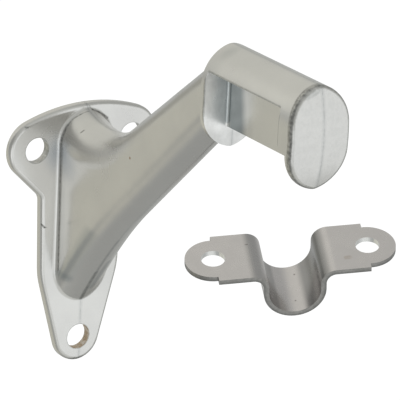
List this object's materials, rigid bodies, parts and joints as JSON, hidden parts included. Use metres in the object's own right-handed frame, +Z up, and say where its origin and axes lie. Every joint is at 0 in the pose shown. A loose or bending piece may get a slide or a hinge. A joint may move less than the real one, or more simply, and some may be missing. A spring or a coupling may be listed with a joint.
{
  "type": "handrail bracket",
  "caption": "Wall bracket for a handrail: a slim plate, a slanting arm with a rounded neck and end cap, and a separate strap with a rounded trough.",
  "frame": {"origin": "on the wall face of the plate, midway between the two upper screw holes", "axes": "+X out from the wall, +Y along the wall and the rail, +Z up"},
  "size_m": [0.0859, 0.0726, 0.0857],
  "materials": {
    "casting": "satin nickel plate on die-cast zinc",
    "strap": "satin nickel plate on pressed steel"
  },
  "bodies": {
    "root": {"bracket_casting": "casting", "rail_strap": "strap"}
  },
  "joints": []
}
